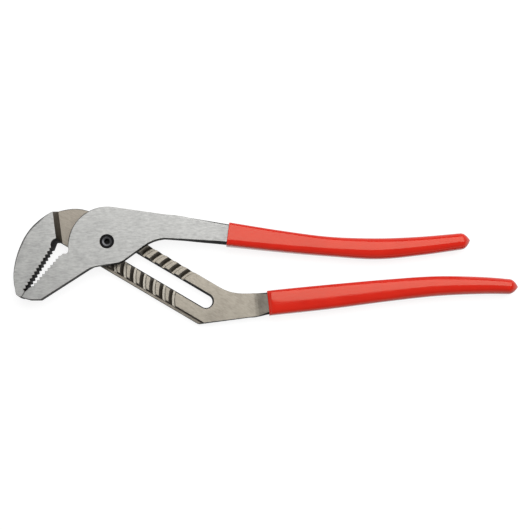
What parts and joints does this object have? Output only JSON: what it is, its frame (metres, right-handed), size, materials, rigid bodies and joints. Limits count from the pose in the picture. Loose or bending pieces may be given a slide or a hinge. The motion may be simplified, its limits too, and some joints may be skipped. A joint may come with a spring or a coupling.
{
  "type": "water pump pliers",
  "caption": "Tongue-and-groove water pump pliers with curved toothed jaws, a slotted web with arc grooves, a flush pivot bolt and long bowed handles in red dipped grips.",
  "frame": {"origin": "on the pivot axis, in the plane of the tool's back, on the flush end of the pivot bolt", "axes": "+X along the tool from the jaws to the handles, +Y across the tool towards the upper handle, +Z out of the front of the joint along the pivot"},
  "size_m": [0.4088, 0.0937, 0.0174],
  "materials": {
    "bright_steel": "ground and clear coated",
    "machined_steel": "machined",
    "black_oxide": "black oxide",
    "red_vinyl": "glossy dipped vinyl"
  },
  "bodies": {
    "slotted_side": {"slotted_half": "machined_steel", "lower_grip": "red_vinyl", "pivot_bolt": "black_oxide", "pivot_nut": "black_oxide"},
    "tongue_side": {"tongue_half": "bright_steel", "upper_grip": "red_vinyl"}
  },
  "joints": [
    {"name": "jaw_hinge", "type": "hinge", "parent": "slotted_side", "child": "tongue_side", "pos_m": [0, 0, 0.013], "axis": [0, 0, 1], "range_deg": [0, 45]}
  ]
}
